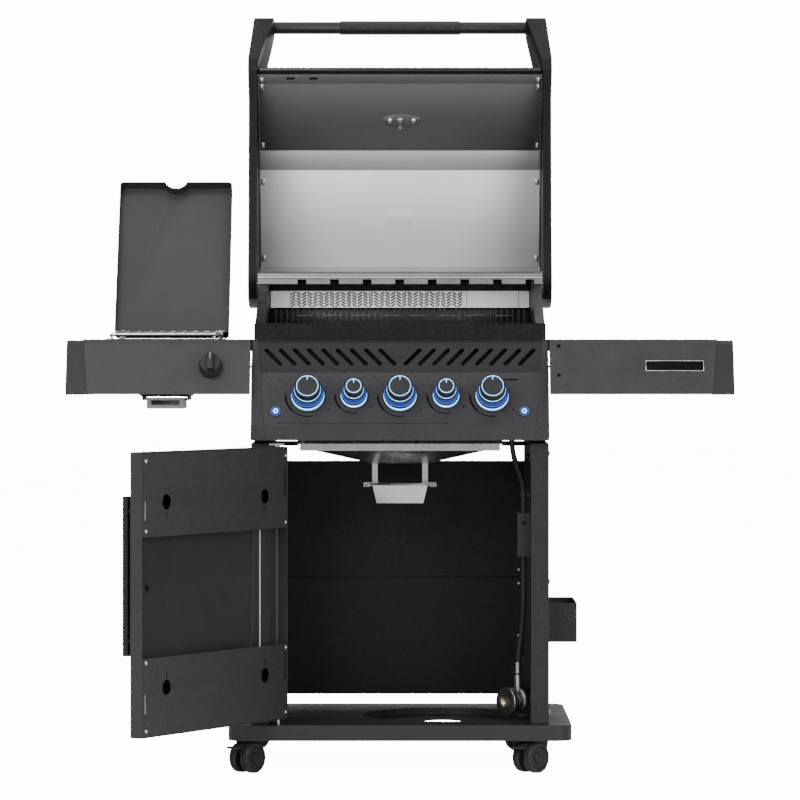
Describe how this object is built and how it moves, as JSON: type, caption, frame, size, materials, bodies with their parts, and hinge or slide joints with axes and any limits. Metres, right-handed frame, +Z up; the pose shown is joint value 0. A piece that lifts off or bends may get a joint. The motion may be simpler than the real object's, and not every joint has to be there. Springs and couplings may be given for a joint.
{
  "type": "gas barbecue grill",
  "caption": "Gas barbecue grill on a wheeled cabinet, with an open lid, side shelves, an infrared side burner, lit knobs, a grease tray and an open door.",
  "frame": {"origin": "on the floor under the middle of the outline, with the lid and the door open as drawn", "axes": "+X to the user's right, +Y to the back, +Z up"},
  "size_m": [1.398, 1.2322, 1.6329],
  "materials": {
    "shelf_black": "satin powder coat",
    "frame_black": "satin powder coat",
    "panel_black": "satin paint",
    "door_grey": "satin metallic paint",
    "fascia_grey": "satin metallic paint",
    "control_grey": "dark brushed steel",
    "cast_black": "black coated casting",
    "lid_black": "gloss enamel",
    "stainless": "brushed",
    "chrome": "polished",
    "zinc": "zinc plated",
    "brass": "turned",
    "grid_iron": "heat-toned steel",
    "knob_black": "satin",
    "light_ring": "lit blue-white ring",
    "rubber_black": "matte",
    "wheel_black": "matte",
    "plastic_black": "matte"
  },
  "bodies": {
    "cart": {"base_shelf": "shelf_black", "caster_plates": "zinc", "side_frames": "frame_black", "back_panels": "panel_black", "cabinet_brackets": "frame_black", "hinge_pins": "zinc", "firebox": "cast_black", "sear_plates": "stainless", "main_burners": "stainless", "rear_burner": "stainless", "gas_manifold": "zinc", "gas_hose": "rubber_black", "regulator": "zinc", "control_panel": "control_grey", "knob_bezels": "light_ring", "end_caps": "plastic_black", "shelf_tops": "fascia_grey", "shelf_fascias": "fascia_grey", "side_burner": "frame_black", "side_caddy": "plastic_black"},
    "coupling_nut": {"coupling_nut": "chrome"},
    "cooking_grids": {"cooking_grids": "grid_iron"},
    "warming_rack": {"warming_rack": "stainless"},
    "grease_pan": {"grease_pan": "stainless"},
    "drip_tray": {"drip_tray": "stainless"},
    "side_burner_grate": {"side_burner_grate": "chrome"},
    "side_drip_tray": {"side_drip_tray": "stainless"},
    "lid": {"lid_shell": "lid_black", "lid_liner": "stainless", "lid_end_castings": "cast_black", "lid_handle": "frame_black", "temperature_gauge": "stainless"},
    "side_burner_lid": {"side_burner_lid": "fascia_grey"},
    "door": {"door_skin": "door_grey", "door_inner_plates": "door_grey", "door_handle": "frame_black"},
    "stem_1": {"stem_1": "brass"},
    "knob_1": {"knob_1": "knob_black"},
    "stem_2": {"stem_2": "brass"},
    "knob_2": {"knob_2": "knob_black"},
    "stem_3": {"stem_3": "brass"},
    "knob_3": {"knob_3": "knob_black"},
    "stem_4": {"stem_4": "brass"},
    "knob_4": {"knob_4": "knob_black"},
    "stem_5": {"stem_5": "brass"},
    "knob_5": {"knob_5": "knob_black"},
    "side_stem": {"side_stem": "brass"},
    "side_knob": {"side_knob": "knob_black"},
    "light_button": {"light_button": "light_ring"},
    "igniter_button": {"igniter_button": "light_ring"},
    "caster_front_left": {"caster_fork_front_left": "plastic_black"},
    "wheels_front_left": {"wheels_front_left": "wheel_black"},
    "brake_pedal_left": {"brake_pedal_left": "plastic_black"},
    "caster_front_right": {"caster_fork_front_right": "plastic_black"},
    "wheels_front_right": {"wheels_front_right": "wheel_black"},
    "brake_pedal_right": {"brake_pedal_right": "plastic_black"},
    "caster_rear_left": {"caster_fork_rear_left": "plastic_black"},
    "wheels_rear_left": {"wheels_rear_left": "wheel_black"},
    "caster_rear_right": {"caster_fork_rear_right": "plastic_black"},
    "wheels_rear_right": {"wheels_rear_right": "wheel_black"}
  },
  "joints": [
    {"name": "lid_hinge", "type": "hinge", "parent": "cart", "child": "lid", "pos_m": [0, 0.39511, 1.03], "axis": [-1, 0, 0], "range_deg": [-102.8, 0]},
    {"name": "side_lid_hinge", "type": "hinge", "parent": "cart", "child": "side_burner_lid", "pos_m": [-0.5, 0.26011, 0.924], "axis": [-1, 0, 0], "range_deg": [-121, 0]},
    {"name": "door_hinge", "type": "hinge", "parent": "cart", "child": "door", "pos_m": [-0.255, -0.15889, 0.113], "axis": [0, 0, -1], "range_deg": [-121, 0]},
    {"name": "grids_lift", "type": "slide", "parent": "cart", "child": "cooking_grids", "axis": [0, 0, 1], "range_m": [0, 0.07]},
    {"name": "rack_lift", "type": "slide", "parent": "cart", "child": "warming_rack", "axis": [0, 0, 1], "range_m": [0, 0.15]},
    {"name": "grease_pan_slide", "type": "slide", "parent": "cart", "child": "grease_pan", "axis": [0, -1, 0], "range_m": [0, 0.3]},
    {"name": "drip_tray_slide", "type": "slide", "parent": "grease_pan", "child": "drip_tray", "axis": [0, -1, 0], "range_m": [0, 0.14]},
    {"name": "side_grate_lift", "type": "slide", "parent": "cart", "child": "side_burner_grate", "axis": [0, 0, 1], "range_m": [0, 0.06]},
    {"name": "side_tray_slide", "type": "slide", "parent": "cart", "child": "side_drip_tray", "axis": [0, -1, 0], "range_m": [0, 0.12]},
    {"name": "coupling_nut_turn", "type": "hinge", "parent": "cart", "child": "coupling_nut", "pos_m": [0.238, -0.06989, 0.143], "axis": [-0.766, -0.6428, 0], "continuous": true},
    {"name": "knob_1_turn", "type": "hinge", "parent": "cart", "child": "stem_1", "pos_m": [-0.193, -0.16876, 0.79005], "axis": [0, -0.9238, 0.3828], "range_deg": [0, 110]},
    {"name": "knob_1_push", "type": "slide", "parent": "stem_1", "child": "knob_1", "axis": [0, 0.9238, -0.3828], "range_m": [0, 0.004], "stiffness_N_per_m": 800, "springref_m": -0.002},
    {"name": "knob_2_turn", "type": "hinge", "parent": "cart", "child": "stem_2", "pos_m": [-0.0965, -0.16876, 0.79005], "axis": [0, -0.9238, 0.3828], "range_deg": [0, 110]},
    {"name": "knob_2_push", "type": "slide", "parent": "stem_2", "child": "knob_2", "axis": [0, 0.9238, -0.3828], "range_m": [0, 0.004], "stiffness_N_per_m": 800, "springref_m": -0.002},
    {"name": "knob_3_turn", "type": "hinge", "parent": "cart", "child": "stem_3", "pos_m": [0, -0.16876, 0.79005], "axis": [0, -0.9238, 0.3828], "range_deg": [0, 110]},
    {"name": "knob_3_push", "type": "slide", "parent": "stem_3", "child": "knob_3", "axis": [0, 0.9238, -0.3828], "range_m": [0, 0.004], "stiffness_N_per_m": 800, "springref_m": -0.002},
    {"name": "knob_4_turn", "type": "hinge", "parent": "cart", "child": "stem_4", "pos_m": [0.0965, -0.16876, 0.79005], "axis": [0, -0.9238, 0.3828], "range_deg": [0, 110]},
    {"name": "knob_4_push", "type": "slide", "parent": "stem_4", "child": "knob_4", "axis": [0, 0.9238, -0.3828], "range_m": [0, 0.004], "stiffness_N_per_m": 800, "springref_m": -0.002},
    {"name": "knob_5_turn", "type": "hinge", "parent": "cart", "child": "stem_5", "pos_m": [0.193, -0.16876, 0.79005], "axis": [0, -0.9238, 0.3828], "range_deg": [0, 110]},
    {"name": "knob_5_push", "type": "slide", "parent": "stem_5", "child": "knob_5", "axis": [0, 0.9238, -0.3828], "range_m": [0, 0.004], "stiffness_N_per_m": 800, "springref_m": -0.002},
    {"name": "side_knob_turn", "type": "hinge", "parent": "cart", "child": "side_stem", "pos_m": [-0.396, -0.16949, 0.84864], "axis": [0, -0.9218, 0.3877], "range_deg": [0, 110]},
    {"name": "side_knob_push", "type": "slide", "parent": "side_stem", "child": "side_knob", "axis": [0, 0.9218, -0.3877], "range_m": [0, 0.004], "stiffness_N_per_m": 800, "springref_m": -0.002},
    {"name": "light_button_push", "type": "slide", "parent": "cart", "child": "light_button", "axis": [0, 0.9238, -0.3828], "range_m": [0, 0.0018], "stiffness_N_per_m": 600, "springref_m": -0.002},
    {"name": "igniter_button_push", "type": "slide", "parent": "cart", "child": "igniter_button", "axis": [0, 0.9238, -0.3828], "range_m": [0, 0.0018], "stiffness_N_per_m": 600, "springref_m": -0.002},
    {"name": "swivel_front_left", "type": "hinge", "parent": "cart", "child": "caster_front_left", "pos_m": [-0.298, -0.12989, 0.08], "axis": [0, 0, 1], "continuous": true},
    {"name": "roll_front_left", "type": "hinge", "parent": "caster_front_left", "child": "wheels_front_left", "pos_m": [-0.31986, -0.15593, 0.032], "axis": [0.766, -0.6428, 0], "continuous": true},
    {"name": "brake_left", "type": "hinge", "parent": "caster_front_left", "child": "brake_pedal_left", "pos_m": [-0.33078, -0.16895, 0.056], "axis": [-0.766, 0.6428, 0], "range_deg": [0, 15]},
    {"name": "swivel_front_right", "type": "hinge", "parent": "cart", "child": "caster_front_right", "pos_m": [0.298, -0.12989, 0.08], "axis": [0, 0, 1], "continuous": true},
    {"name": "roll_front_right", "type": "hinge", "parent": "caster_front_right", "child": "wheels_front_right", "pos_m": [0.27396, -0.15393, 0.032], "axis": [0.7071, -0.7071, 0], "continuous": true},
    {"name": "brake_right", "type": "hinge", "parent": "caster_front_right", "child": "brake_pedal_right", "pos_m": [0.26194, -0.16595, 0.056], "axis": [-0.7071, 0.7071, 0], "range_deg": [0, 15]},
    {"name": "swivel_rear_left", "type": "hinge", "parent": "cart", "child": "caster_rear_left", "pos_m": [-0.298, 0.32011, 0.08], "axis": [0, 0, 1], "continuous": true},
    {"name": "roll_rear_left", "type": "hinge", "parent": "caster_rear_left", "child": "wheels_rear_left", "pos_m": [-0.32585, 0.33962, 0.032], "axis": [-0.5736, -0.8192, 0], "continuous": true},
    {"name": "swivel_rear_right", "type": "hinge", "parent": "cart", "child": "caster_rear_right", "pos_m": [0.298, 0.32011, 0.08], "axis": [0, 0, 1], "continuous": true},
    {"name": "roll_rear_right", "type": "hinge", "parent": "caster_rear_right", "child": "wheels_rear_right", "pos_m": [0.26855, 0.30311, 0.032], "axis": [0.5, -0.866, 0], "continuous": true}
  ]
}
